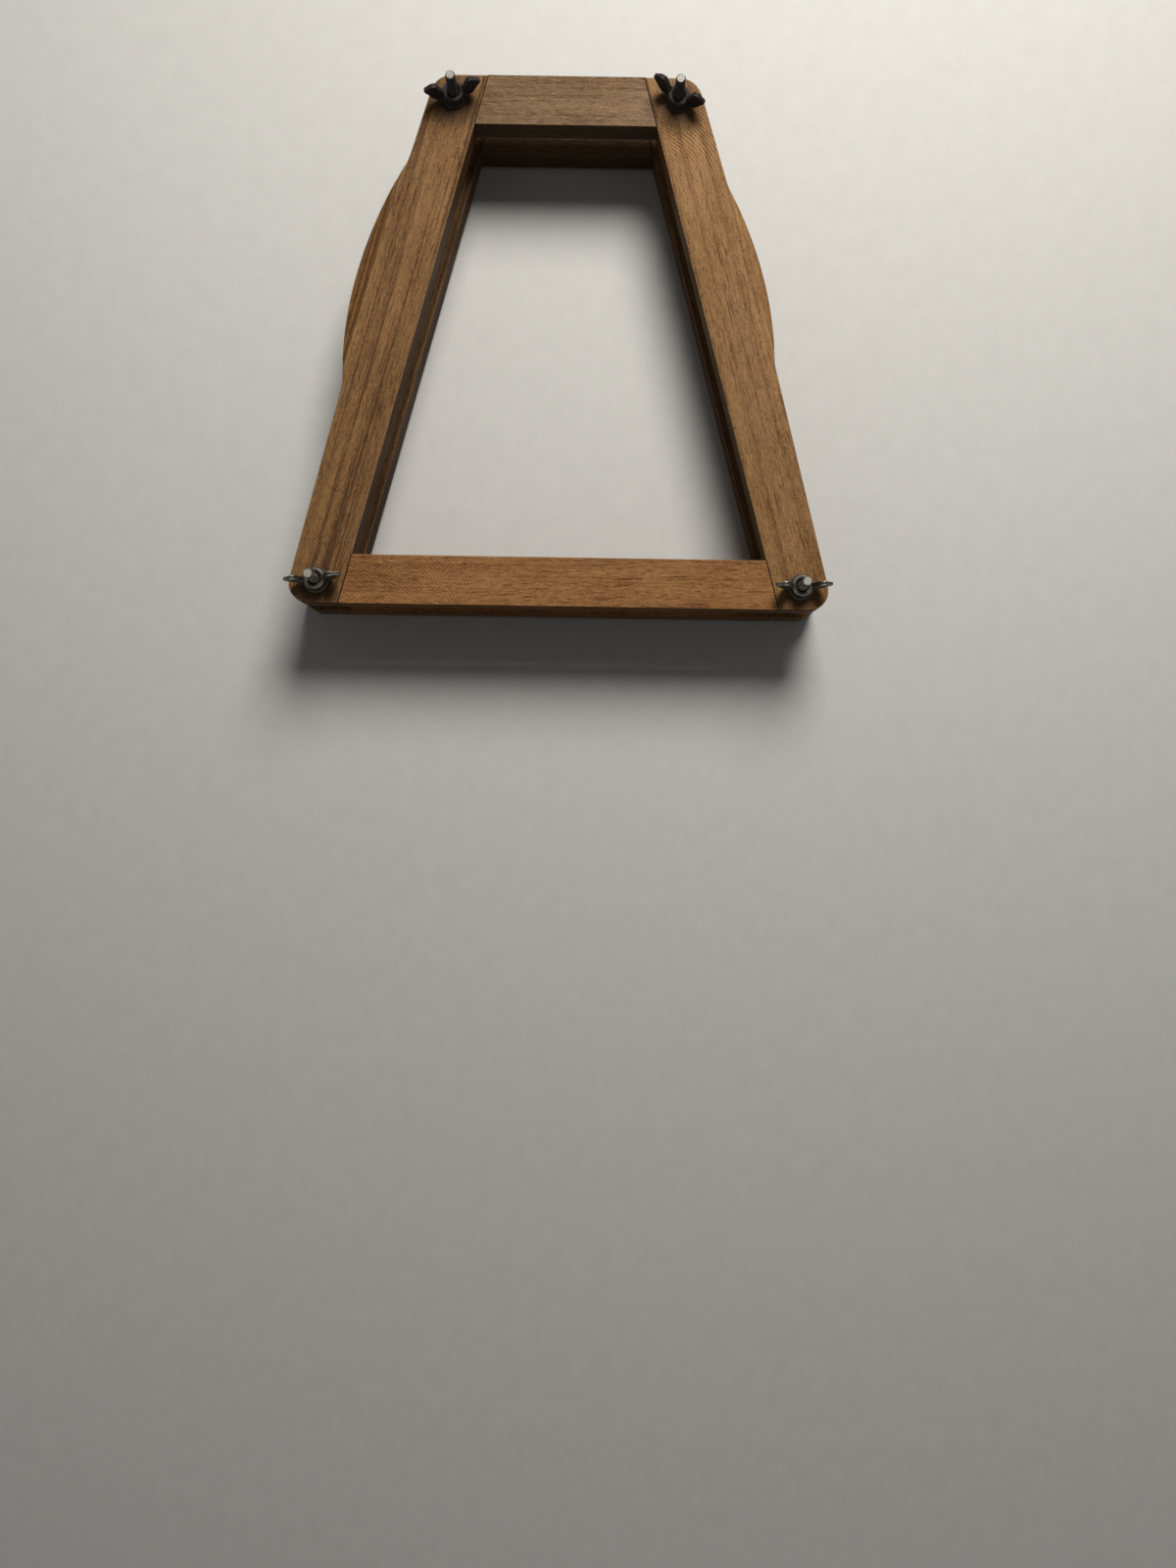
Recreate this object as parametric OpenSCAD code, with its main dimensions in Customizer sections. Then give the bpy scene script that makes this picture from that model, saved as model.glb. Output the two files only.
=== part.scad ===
// Wooden racket press: two trapezoid frames drawn together by four bolts with wing nuts.
// It lies on its back. X is across, +Y is towards the narrow end and +Z is out of the front.
// The origin is at the middle of the plan, level with the domed bolt heads it rests on.

/* [Frames] */
// Height of each frame, from the narrow end to the wide end
press_h = 276; // [240:1:320]
// Thickness of the wood of each frame
frame_t = 13; // [10:0.5:18]
// Room between the two frames, where the racket head goes
frame_gap = 17; // [12:0.5:24]
// Width of the window at its narrow end
window_top_w = 95; // [80:1:110]
// Width of the window at its wide end
window_bottom_w = 216; // [200:1:230]
// Width of the rails at both ends
rail_w = 25.5; // [22:0.5:30]

/* [Stiles] */
// Width of a stile at the narrow end, square to its inner edge
stile_top_w = 26.4; // [24:0.2:30]
// Width of a stile at its knee, without the swell
stile_knee_w = 29.8; // [28:0.2:31]
// Width of a stile at the wide end
stile_bottom_w = 27.7; // [25:0.1:31]
// Place of the knee, up from the middle of the press
knee_y = 38; // [20:1:50]
// Radius of the outer corners at the narrow end
top_corner_r = 12; // [6:0.5:14]
// Radius of the outer corners at the wide end
bottom_corner_r = 10; // [5:0.5:13]

/* [Swell] */
// Half width of the press over the left stile's swell
left_swell_x = 114.5; // [113:0.1:116]
// Half width of the press over the right stile's swell
right_swell_x = 110.7; // [109.5:0.1:113]
// Place of the widest point of the swell, down from the middle
swell_drop = 9.3; // [6:0.1:12]
// Radius of the swell's curve
swell_r = 174; // [160:1:190]
// Radius that blends the swell into the straight edges
swell_blend_r = 25; // [10:1:40]
// Slope of the flat that thins the swell towards its edge
swell_slope = 30; // [15:1:38]

/* [Joints] */
// Diameter of the dowels that hold a rail to a stile
dowel_d = 6; // [4:0.5:7]
// Depth of a dowel in the stile
dowel_in_stile = 6; // [4:0.5:6.5]
// Depth of a dowel in the rail
dowel_in_rail = 14; // [10:0.5:18]
// Distance between the two dowels of a joint
dowel_pitch = 12; // [10:0.5:14]

/* [Bolts] */
// Diameter of the bolts
bolt_d = 5; // [4:0.1:6]
// Length of a bolt under its head
bolt_l = 62.3; // [58:0.1:80]
// Bolt hole down from the narrow end
top_bolt_down = 11.7; // [10:0.1:18]
// Bolt hole in from the stile's inner edge, at the narrow end
top_bolt_in = 14.5; // [12.5:0.1:16]
// Bolt hole up from the wide end
bottom_bolt_up = 11.8; // [9:0.1:18]
// Bolt hole in from the stile's inner edge, at the wide end
bottom_bolt_in = 14.5; // [12:0.1:16]
// Clearance round a bolt in the wood
hole_clear = 0.25; // [0.1:0.05:0.4]
// Diameter of the domed head
head_d = 13.5; // [11:0.1:15]
// Height of the domed head
head_h = 3.1; // [2.2:0.1:4]
// Thickness of the domed head at its rim
head_rim = 0.5; // [0.2:0.1:1]
// Length of the square neck under the head
neck_l = 4; // [3:0.5:6]
// How much wider the square neck is than the bolt
neck_extra = 0.2; // [0.1:0.1:0.6]
// Bevel on the bolt's end
bolt_bevel = 0.6; // [0.2:0.1:1]

/* [Washers] */
// Diameter of the washers
washer_d = 13.4; // [12:0.1:16]
// Thickness of the washers
washer_t = 1.2; // [0.8:0.1:1.6]
// Clearance round a bolt in its washer
washer_clear = 0.25; // [0.1:0.05:0.4]
// Room between the front frame and its washers
washer_seat = 0.05; // [0.02:0.01:0.2]

/* [Wing nuts] */
// Diameter of the nut's foot
hub_foot_d = 12; // [11:0.1:13]
// Diameter of the nut's top
hub_top_d = 10.7; // [10:0.1:11.5]
// Height of the nut's foot, below its taper
hub_foot_h = 1.2; // [0.8:0.1:2]
// Height of the nut's body
hub_h = 4.2; // [3.5:0.1:6]
// Diameter of the bevelled mouth of the nut's thread
mouth_d = 7.6; // [6:0.1:8.5]
// Running clearance of the thread
thread_clear = 0.05; // [0.02:0.01:0.1]
// Span over the tips of the wings
wing_span = 29.4; // [27:0.1:32]
// Height over the wings, from the nut's foot
wing_h = 12; // [10:0.1:15]
// Thickness of a wing at its tip
wing_tip_t = 1.6; // [1.2:0.1:2.2]
// Thickness of a wing where it leaves the body
wing_root_t = 3.4; // [2.6:0.1:4.2]
// Radius of a wing's outer corner
wing_tip_r = 2.1; // [1.2:0.1:2.6]
// Drop of a wing's outer corner below its top
wing_tip_drop = 1.3; // [0.5:0.1:3]
// Radius of a wing's top corner
wing_top_r = 2.4; // [1.5:0.1:3]
// Distance of a wing's top corner in from its tip
wing_top_in = 2.5; // [2:0.1:4]
// Radius of a wing where it leaves the body
wing_root_r = 3.2; // [2.4:0.1:3.6]
// Height of the middle of a wing's root
wing_root_h = 3.4; // [2.8:0.1:4]
// How far a wing's root runs into the body
wing_sunk = 0.8; // [0.4:0.1:1.2]
// Turn at rest of the left wing nut at the narrow end
top_left_turn = 11.9; // [-90:0.1:90]
// Turn at rest of the right wing nut at the narrow end
top_right_turn = -27.3; // [-90:0.1:90]
// Turn at rest of the left wing nut at the wide end
bottom_left_turn = 6.6; // [-90:0.1:90]
// Turn at rest of the right wing nut at the wide end
bottom_right_turn = 1.4; // [-90:0.1:90]

/* [Hidden] */

$fn = 64;
eps = 0.01;                                   // how far joined shapes run into each other
over = 1;                                     // how far a cut runs past the face it starts from
corner_n = 10;                                // straight steps round a corner of a stile
blend_n = 6;                                  // and along a blend
swell_n = 28;                                 // and along a swell

// Levels, from the domed heads up
back_z = head_h;                              // back face of the back frame
gap_z = back_z + frame_t;                     // inner face of the back frame
front_z = gap_z + frame_gap;                  // inner face of the front frame
face_z = front_z + frame_t;                   // front face of the front frame
washer_z = face_z + washer_seat;              // underside of the washers
nut_z = washer_z + washer_t;                  // underside of the wing nuts

// The stile's inner edge, which is also the line of both joints
end_y = press_h / 2;
window_y = end_y - rail_w;
lean = (window_bottom_w - window_top_w) / (4 * window_y);
lean_a = atan(lean);
function inner_x(y) = window_top_w / 2 + (window_y - y) * lean;

// The stile's outer edge, of two straight lines that meet at the knee, under the swell
function across(w) = w / cos(lean_a);
top_pt = [inner_x(end_y) + across(stile_top_w), end_y];
knee_pt = [inner_x(knee_y) + across(stile_knee_w), knee_y];
bottom_pt = [inner_x(-end_y) + across(stile_bottom_w), -end_y];

// Lines and arcs in the plan. An edge runs down from its first point to its second,
// so the outside of the stile lies on its left-hand side.
function unit(v) = v / norm(v);
function outside(from, to) = let (d = unit(to - from)) [-d[1], d[0]];
function heading(v) = atan2(v[1], v[0]);
function arc(c, r, a0, a1, n) =
    [for (i = [0 : n]) let (a = a0 + (a1 - a0) * i / n) c + r * [cos(a), sin(a)]];

// Centre at height y of a corner that touches the edge from its inside
function corner_centre(from, to, r, y) =
    let (p = from - outside(from, to) * r, d = to - from) p + d * (y - p[1]) / d[1];

// Centre of the blend that touches the edge from its outside and the swell's circle,
// at the upper end of the swell with way -1 and at its lower end with way 1
function blend_centre(from, to, c, way) =
    let (
        d = unit(to - from),
        p = from + outside(from, to) * swell_blend_r - c,
        b = p * d,
        s = -b + way * sqrt(b * b - p * p + pow(swell_r + swell_blend_r, 2))
    ) c + p + d * s;

// Outline of a stile on the right-hand side, with its swell out to swell_x
function swell_centre(swell_x) = [swell_x - swell_r, -swell_drop];
function stile_outline(swell_x) =
    let (
        c = swell_centre(swell_x),
        up_side = outside(top_pt, knee_pt),
        low_side = outside(knee_pt, bottom_pt),
        top_c = corner_centre(top_pt, knee_pt, top_corner_r, end_y - top_corner_r),
        bottom_c = corner_centre(knee_pt, bottom_pt, bottom_corner_r, -end_y + bottom_corner_r),
        up_c = blend_centre(top_pt, knee_pt, c, -1),
        low_c = blend_centre(knee_pt, bottom_pt, c, 1),
        up_a = heading(up_c - c),
        low_a = heading(low_c - c)
    ) concat(
        [[inner_x(end_y), end_y]],
        arc(top_c, top_corner_r, 90, heading(up_side), corner_n),
        arc(up_c, swell_blend_r, heading(-up_side) + 360, up_a + 180, blend_n),
        arc(c, swell_r, up_a, low_a, swell_n),
        arc(low_c, swell_blend_r, low_a + 180, heading(-low_side) + 360, blend_n),
        arc(bottom_c, bottom_corner_r, heading(low_side), -90, corner_n),
        [[inner_x(-end_y), -end_y]]
    );

// Places of the bolts and joints, on the right-hand side
top_bolt_y = end_y - top_bolt_down;
bottom_bolt_y = -end_y + bottom_bolt_up;
top_bolt = [inner_x(top_bolt_y) + top_bolt_in, top_bolt_y];
bottom_bolt = [inner_x(bottom_bolt_y) + bottom_bolt_in, bottom_bolt_y];
top_joint = [inner_x(end_y - rail_w / 2), end_y - rail_w / 2];
bottom_joint = [inner_x(-end_y + rail_w / 2), -end_y + rail_w / 2];

wood = [0.56, 0.41, 0.27];
rail_wood = [0.6, 0.46, 0.32];
dowel_wood = [0.72, 0.58, 0.4];
dark_iron = [0.22, 0.2, 0.2];
dull_nickel = [0.58, 0.56, 0.52];

// A piece of a frame lies with its inner face on z = 0 and its outer face up
module in_front() translate([0, 0, front_z]) children();
module in_back() translate([0, 0, gap_z]) mirror([0, 0, 1]) children();
module on_left() mirror([1, 0, 0]) children();

// The two dowels of one joint, square to the joint line and halfway through the wood
module dowel_pair(joint, extra = 0) {
    for (side = [-1, 1])
        translate([joint[0], joint[1], frame_t / 2])
            rotate([0, 0, lean_a])
                translate([0, side * dowel_pitch / 2, 0])
                    rotate([0, 90, 0])
                        translate([0, 0, -dowel_in_rail - extra])
                            cylinder(h = dowel_in_rail + dowel_in_stile + 2 * extra, d = dowel_d, $fn = 32);
}

// The flat that thins the swell, from the line between the ends of its curve outwards
module swell_flat(swell_x) {
    c = swell_centre(swell_x);
    up_c = blend_centre(top_pt, knee_pt, c, -1);
    low_c = blend_centre(knee_pt, bottom_pt, c, 1);
    from = c + unit(low_c - c) * swell_r;
    to = c + unit(up_c - c) * swell_r;
    reach = 40;
    translate([from[0], from[1], frame_t])
        rotate([0, 0, heading(to - from) - 90])
            rotate([0, swell_slope, 0])
                translate([0, -reach, 0])
                    cube([reach, norm(to - from) + 2 * reach, reach]);
}

// A right-hand stile, bored for its two bolts and four dowels
module stile(swell_x, neck) {
    hole_d = bolt_d + 2 * hole_clear;
    neck_w = bolt_d + neck_extra;
    difference() {
        linear_extrude(frame_t) polygon(stile_outline(swell_x));
        swell_flat(swell_x);
        for (place = [top_bolt, bottom_bolt])
            translate([place[0], place[1], -over]) cylinder(h = frame_t + 2 * over, d = hole_d);
        for (place = [top_bolt, bottom_bolt])
            if (neck)
                translate([place[0] - neck_w / 2, place[1] - neck_w / 2, frame_t - neck_l])
                    cube([neck_w, neck_w, neck_l + over]);
        dowel_pair(top_joint);
        dowel_pair(bottom_joint);
    }
}

// A rail from y0 up to y0 + rail_w, cut along both joint lines
module rail(y0, joint) {
    y1 = y0 + rail_w;
    difference() {
        linear_extrude(frame_t)
            polygon([
                [-inner_x(y0), y0], [inner_x(y0), y0],
                [inner_x(y1), y1], [-inner_x(y1), y1]
            ]);
        dowel_pair(joint);
        on_left() dowel_pair(joint);
    }
}
module top_rail() rail(end_y - rail_w, top_joint);
module bottom_rail() rail(-end_y, bottom_joint);

// A domed bolt with a square neck, standing on its head
module bolt() {
    dome_h = head_h - head_rim;
    dome_r = (head_d * head_d / 4 + dome_h * dome_h) / (2 * dome_h);
    neck_w = bolt_d + neck_extra;
    intersection() {
        translate([0, 0, dome_r]) sphere(dome_r, $fn = 96);
        cylinder(h = head_h, d = head_d);
    }
    translate([-neck_w / 2, -neck_w / 2, head_h - eps]) cube([neck_w, neck_w, neck_l + eps]);
    translate([0, 0, head_h - eps]) cylinder(h = bolt_l - bolt_bevel + eps, d = bolt_d);
    translate([0, 0, head_h + bolt_l - bolt_bevel])
        cylinder(h = bolt_bevel, d1 = bolt_d, d2 = bolt_d - 2 * bolt_bevel);
}

module washer() {
    difference() {
        cylinder(h = washer_t, d = washer_d);
        translate([0, 0, -over])
            cylinder(h = washer_t + 2 * over, d = bolt_d + 2 * washer_clear);
    }
}

// Side view of a wing: a fan from its root on the body to its top and outer corners
module wing_side() {
    half = wing_span / 2;
    hull() {
        translate([hub_top_d / 2 + wing_root_r - wing_sunk, wing_root_h]) circle(wing_root_r, $fn = 32);
        translate([half - wing_top_in - wing_top_r, wing_h - wing_top_r]) circle(wing_top_r, $fn = 24);
        translate([half - wing_tip_r, wing_h - wing_tip_drop - wing_tip_r]) circle(wing_tip_r, $fn = 24);
    }
}

// One wing, along +X, that thins from its root to its tip
module wing() {
    root_x = bolt_d / 2;
    tip_x = wing_span / 2;
    intersection() {
        rotate([90, 0, 0])
            translate([0, 0, -wing_root_t]) linear_extrude(2 * wing_root_t) wing_side();
        linear_extrude(wing_h + over)
            polygon([
                [root_x, -wing_root_t / 2], [tip_x, -wing_tip_t / 2],
                [tip_x + over, -wing_tip_t / 2], [tip_x + over, wing_tip_t / 2],
                [tip_x, wing_tip_t / 2], [root_x, wing_root_t / 2]
            ]);
    }
}

module wing_nut() {
    bore_d = bolt_d + 2 * thread_clear;
    mouth_h = (mouth_d - bore_d) / 2;
    difference() {
        union() {
            cylinder(h = hub_foot_h, d = hub_foot_d);
            translate([0, 0, hub_foot_h]) cylinder(h = hub_h - hub_foot_h, d1 = hub_foot_d, d2 = hub_top_d);
            wing();
            rotate([0, 0, 180]) wing();
        }
        translate([0, 0, -over]) cylinder(h = hub_h + 2 * over, d = bore_d);
        translate([0, 0, hub_h - mouth_h]) cylinder(h = mouth_h + eps, d1 = bore_d, d2 = mouth_d + 2 * eps);
    }
}

// Hardware at its bolt, with side -1 on the left
module at_bolt(place, side, z) translate([side * place[0], place[1], z]) children();
module washer_at(place, side) at_bolt(place, side, washer_z) washer();
module nut_at(place, side, turn) at_bolt(place, side, nut_z) rotate([0, 0, turn]) wing_nut();

module front_left_stile() color(wood) in_front() on_left() stile(left_swell_x, false);
module front_right_stile() color(wood) in_front() stile(right_swell_x, false);
module front_top_rail() color(rail_wood) in_front() top_rail();
module front_bottom_rail() color(rail_wood) in_front() bottom_rail();
module back_left_stile() color(wood) in_back() on_left() stile(left_swell_x, true);
module back_right_stile() color(wood) in_back() stile(right_swell_x, true);
module back_top_rail() color(rail_wood) in_back() top_rail();
module back_bottom_rail() color(rail_wood) in_back() bottom_rail();

module front_top_left_dowels() color(dowel_wood) in_front() on_left() dowel_pair(top_joint);
module front_top_right_dowels() color(dowel_wood) in_front() dowel_pair(top_joint);
module front_bottom_left_dowels() color(dowel_wood) in_front() on_left() dowel_pair(bottom_joint);
module front_bottom_right_dowels() color(dowel_wood) in_front() dowel_pair(bottom_joint);
module back_top_left_dowels() color(dowel_wood) in_back() on_left() dowel_pair(top_joint);
module back_top_right_dowels() color(dowel_wood) in_back() dowel_pair(top_joint);
module back_bottom_left_dowels() color(dowel_wood) in_back() on_left() dowel_pair(bottom_joint);
module back_bottom_right_dowels() color(dowel_wood) in_back() dowel_pair(bottom_joint);

module bolt_top_left() color(dark_iron) at_bolt(top_bolt, -1, 0) bolt();
module bolt_top_right() color(dark_iron) at_bolt(top_bolt, 1, 0) bolt();
module bolt_bottom_left() color(dull_nickel) at_bolt(bottom_bolt, -1, 0) bolt();
module bolt_bottom_right() color(dull_nickel) at_bolt(bottom_bolt, 1, 0) bolt();

module washer_top_left() color(dark_iron) washer_at(top_bolt, -1);
module washer_top_right() color(dark_iron) washer_at(top_bolt, 1);
module washer_bottom_left() color(dull_nickel) washer_at(bottom_bolt, -1);
module washer_bottom_right() color(dull_nickel) washer_at(bottom_bolt, 1);

module wing_nut_top_left() color(dark_iron) nut_at(top_bolt, -1, top_left_turn);
module wing_nut_top_right() color(dark_iron) nut_at(top_bolt, 1, top_right_turn);
module wing_nut_bottom_left() color(dull_nickel) nut_at(bottom_bolt, -1, bottom_left_turn);
module wing_nut_bottom_right() color(dull_nickel) nut_at(bottom_bolt, 1, bottom_right_turn);

front_left_stile();
front_right_stile();
front_top_rail();
front_bottom_rail();
back_left_stile();
back_right_stile();
back_top_rail();
back_bottom_rail();
front_top_left_dowels();
front_top_right_dowels();
front_bottom_left_dowels();
front_bottom_right_dowels();
back_top_left_dowels();
back_top_right_dowels();
back_bottom_left_dowels();
back_bottom_right_dowels();
bolt_top_left();
bolt_top_right();
bolt_bottom_left();
bolt_bottom_right();
washer_top_left();
washer_top_right();
washer_bottom_left();
washer_bottom_right();
wing_nut_top_left();
wing_nut_top_right();
wing_nut_bottom_left();
wing_nut_bottom_right();
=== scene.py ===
"""Looks of a wooden racket press: worn hardwood frames, long bolts, washers and wing nuts.

Every piece keeps the place that the CAD frame gives it. Lengths are in metres, and sizes
that a maker would give in millimetres are written times MM.
"""

import math

import bmesh
import bpy
from mathutils import Matrix, Vector


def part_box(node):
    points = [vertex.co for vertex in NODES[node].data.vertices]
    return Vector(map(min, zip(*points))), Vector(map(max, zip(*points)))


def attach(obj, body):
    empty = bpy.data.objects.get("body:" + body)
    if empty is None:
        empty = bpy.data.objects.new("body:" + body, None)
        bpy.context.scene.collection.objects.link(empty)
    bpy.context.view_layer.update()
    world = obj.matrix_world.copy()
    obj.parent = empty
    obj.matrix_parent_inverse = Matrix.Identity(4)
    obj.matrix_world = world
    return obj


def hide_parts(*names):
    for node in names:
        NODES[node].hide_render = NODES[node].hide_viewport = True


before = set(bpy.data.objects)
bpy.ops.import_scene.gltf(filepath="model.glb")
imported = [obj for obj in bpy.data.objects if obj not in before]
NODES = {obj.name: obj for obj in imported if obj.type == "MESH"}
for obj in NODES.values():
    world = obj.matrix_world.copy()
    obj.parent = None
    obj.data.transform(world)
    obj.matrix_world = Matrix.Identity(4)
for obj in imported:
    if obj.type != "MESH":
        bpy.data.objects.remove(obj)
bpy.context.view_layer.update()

MM = 0.001
CORNERS = [(end, side) for end in ("top", "bottom") for side in ("left", "right")]


# Sizes that the part's source gives and a box can't

LEAN = math.atan(121 / 450)           # how far a stile leans from upright
WINDOW_Y = 112.5 * MM                 # half the window's height
INNER_X = 77.75 * MM                  # a stile's inner edge, halfway up
BOLT_R = 2.5 * MM
THREAD_PITCH = 0.8 * MM
HOLE_CLEAR = 0.25 * MM
HEAD_R, HEAD_H, HEAD_RIM = 6.75 * MM, 3.1 * MM, 0.5 * MM
NECK_W, NECK_L = 5.2 * MM, 4 * MM
NUT_TURN = {"top_left": 11.9, "top_right": -27.3, "bottom_left": 6.6, "bottom_right": 1.4}


# Small tools

def tone(code):
    """A written sRGB colour as linear light."""
    parts = [int(code[i:i + 2], 16) / 255 for i in (1, 3, 5)]
    return [p / 12.92 if p <= 0.04045 else ((p + 0.055) / 1.055) ** 2.4 for p in parts] + [1.0]


MATH, VECTOR, RANGE = "ShaderNodeMath", "ShaderNodeVectorMath", "ShaderNodeMapRange"
NOISE, MAPPING, MIX = "ShaderNodeTexNoise", "ShaderNodeMapping", "ShaderNodeMix"
SPLIT, BUMP = "ShaderNodeSeparateXYZ", "ShaderNodeBump"
SMOOTH = {"interpolation_type": "SMOOTHSTEP"}
COLOUR = {"data_type": "RGBA"}


def add(tree, kind, settings=None, inputs=()):
    """Adds a node. The settings are a dict, or just the name of an operation. The inputs are
    a dict by socket, or a tuple in the order of the sockets. Each input is a value, a socket,
    or a node whose first output is meant."""
    made = tree.nodes.new(kind)
    settings = {"operation": settings} if isinstance(settings, str) else settings or {}
    for key, value in settings.items():
        setattr(made, key, value)
    for key, value in inputs.items() if isinstance(inputs, dict) else enumerate(inputs):
        if isinstance(value, bpy.types.Node):
            value = value.outputs[0]
        if isinstance(value, bpy.types.NodeSocket):
            tree.links.new(value, made.inputs[key])
        else:
            made.inputs[key].default_value = value
    return made


def shader(name):
    """A new material with its Principled shader."""
    made = bpy.data.materials.new(name)
    made.use_nodes = True
    return made, made.node_tree, made.node_tree.nodes["Principled BSDF"]


def joined(tree, target, **sockets):
    """Links sockets into a node by name, with a space for each low line."""
    for key, value in sockets.items():
        value = value.outputs[0] if isinstance(value, bpy.types.Node) else value
        tree.links.new(value, target.inputs[key.replace("_", " ")])


def new_object(name, mesh, *materials):
    made = bpy.data.objects.new(name, mesh)
    bpy.context.scene.collection.objects.link(made)
    for material in materials:
        mesh.materials.append(material)
    return made


def from_bmesh(name, bm, *materials):
    mesh = bpy.data.meshes.new(name)
    bm.to_mesh(mesh)
    bm.free()
    return new_object(name, mesh, *materials)


def settle(obj):
    """Turns an object with modifiers into a plain mesh."""
    graph = bpy.context.evaluated_depsgraph_get()
    mesh = bpy.data.meshes.new_from_object(obj.evaluated_get(graph))
    old = obj.data
    obj.modifiers.clear()
    obj.data = mesh
    bpy.data.meshes.remove(old)
    return obj


def smooth(obj, angle):
    """Shades the mesh smooth, with creases sharper than the angle kept."""
    for face in obj.data.polygons:
        face.use_smooth = True
    obj.data.set_sharp_from_angle(angle=math.radians(angle))


def centre(node):
    low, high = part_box(node)
    return (low + high) / 2


FACE_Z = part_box("front_left_stile")[1].z
NUT_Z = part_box("wing_nut_top_left")[0].z
TIP_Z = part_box("bolt_top_left")[1].z
BOLT_AT = {f"{end}_{side}": centre(f"washer_{end}_{side}") for end, side in CORNERS}


# Wood

PORE_W = 0.4              # a pore dash's width in mm: really 0.2, drawn wider so that it shows
RIPPLE_W = 1.6            # from one ripple of curly figure to the next, in mm
JOINT_DIRT = 0.2, 0.55    # how far off a glued joint's line its dirt is full and ends, in mm
EDGE_SHADE = 0.4          # share of the colour left on a board's edges, as painted shade for walls that face away from the light
PORE, BARE_WOOD, DIRT = tone("#3a1f0e"), tone("#a98a64"), tone("#1e1209")


def hardwood(name, light, dark, along, at, shift, wander=(5, 60), pore=5.0, stripes=0.0,
             ripples=(), marks=(), varnish_and_lift=0.0, painted_shade=1.0, bare=0.0):
    """Open-pored hardwood of the meranti kind, sawn, planed and thinly varnished, now worn:
    faint growth bands, fine fibres and short dark pore dashes run along the piece.
    along is the piece's turn, at a point on its reference edge and shift moves the pattern.
    wander is how far the grain strays and over what length, and pore is the spacing of the
    pore dashes along the grain, in millimetres. stripes is the share of long dark lines.
    ripples are patches of curly figure: (centre of its arcs, middle, reach, amount).
    marks are dark spots of grime, painted shadow and chips: (point, inner and outer radius, share
    of the light that is left), painted_shade is that share for the whole piece, painted on as
    shade, varnish_and_lift is how much the swell's flat is warmed for its varnish and lightened as
    painted light, and bare is how far it is rubbed off an arris."""
    made, tree, bsdf = shader(name)
    place = add(tree, "ShaderNodeTexCoord").outputs["Object"]
    # Millimetres, with Y along the grain
    local = add(tree, MAPPING, {"vector_type": "TEXTURE"},
                {"Vector": place, "Location": (at[0], at[1], 0), "Rotation": (0, 0, along),
                 "Scale": (MM, MM, MM)})
    moved = add(tree, VECTOR, "ADD", (local, shift))

    def field(vector, width, length, detail):
        """Streaks of about that width and length in millimetres, from 0 to 1."""
        size = add(tree, MAPPING, {},
                   {"Vector": vector, "Scale": (1 / width, 1 / length, 1 / width)})
        return add(tree, NOISE, {},
                   {"Vector": size, "Scale": 1.0, "Detail": detail, "Roughness": 0.55})

    stray = field(moved, wander[1] / 2, wander[1], 1.0).outputs["Color"]
    bend = add(tree, VECTOR, "MULTIPLY_ADD", (stray, (wander[0], 0.0, wander[0]), moved))
    bands = field(bend, 7, 170, 3.0)
    fibres = field(bend, 0.45, 6, 3.0)
    patches = field(bend, 22, 50, 2.0)
    specks = field(bend, 0.32, 0.9, 1.0)
    lines = add(tree, RANGE, SMOOTH, (field(moved, 2.1, 320, 2.0), 0.47, 0.63))
    threads = add(tree, RANGE, SMOOTH, (field(bend, 0.9, 5 * pore, 1.0), 0.6, 0.7))
    # Each pore dash lies in a cell twice its width, and each has its own darkness
    cell = 1 / (2 * PORE_W)
    cells = add(tree, MAPPING, {}, {"Vector": bend, "Scale": (cell, 1 / pore, cell)})
    dashes = add(tree, "ShaderNodeTexVoronoi", {"feature": "F1"}, {"Vector": cells, "Scale": 1.0})
    dash = add(tree, RANGE, SMOOTH, (dashes.outputs["Distance"], 0.1, 0.34, 1.0, 0.0))
    deep = add(tree, "ShaderNodeSeparateColor", {}, (dashes.outputs["Color"],))
    deep = add(tree, RANGE, SMOOTH, (deep, 0.1, 0.9, 0.1, 0.75))
    dash = add(tree, MATH, "MULTIPLY", (dash, deep))

    # How dark the wood is at a point, about 0 to 1: fields that lie evenly round 0.5, whose
    # middle is taken off, then lines that only darken
    even = (bands, 0.8), (fibres, 1.5), (specks, 1.3), (patches, 0.4)
    depth = 0.45 - 0.5 * sum(share for _, share in even)
    for part, share in even + ((lines, stripes), (threads, 0.35)):
        depth = add(tree, MATH, "MULTIPLY_ADD", (part, share, depth))
    for arcs, middle, reach, amount in ripples:
        flat = add(tree, VECTOR, "MULTIPLY", (place, (1, 1, 0)))
        ring = add(tree, VECTOR, "DISTANCE",
                   (flat, (arcs[0] * MM, arcs[1] * MM, 0))).outputs["Value"]
        waves = add(tree, MATH, "DIVIDE", (ring, RIPPLE_W * MM / (2 * math.pi)))
        loose = add(tree, MATH, "MULTIPLY_ADD", (field(local, 12, 12, 1.0), 6.0, waves))
        gap = add(tree, VECTOR, "DISTANCE",
                  (place, (middle[0] * MM, middle[1] * MM, FACE_Z))).outputs["Value"]
        near = add(tree, RANGE, SMOOTH, (gap, 0.3 * reach * MM, reach * MM, amount, 0.0))
        broken = add(tree, RANGE, SMOOTH, (field(local, 4, 4, 2.0), 0.35, 0.6, 0.2, 1.4))
        near = add(tree, MATH, "MULTIPLY", (near, broken))
        depth = add(tree, MATH, "MULTIPLY_ADD", (add(tree, MATH, "SINE", (loose,)), near, depth))
    colour = add(tree, MIX, COLOUR,
                 {"Factor": depth, "A": tone(light), "B": tone(dark)}).outputs["Result"]
    colour = add(tree, MIX, COLOUR,
                 {"Factor": dash, "A": colour, "B": PORE}).outputs["Result"]
    normal = add(tree, SPLIT, {}, (add(tree, "ShaderNodeNewGeometry").outputs["Normal"],))
    upward = add(tree, MATH, "ABSOLUTE", (normal.outputs["Z"],))
    if varnish_and_lift:
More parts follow.
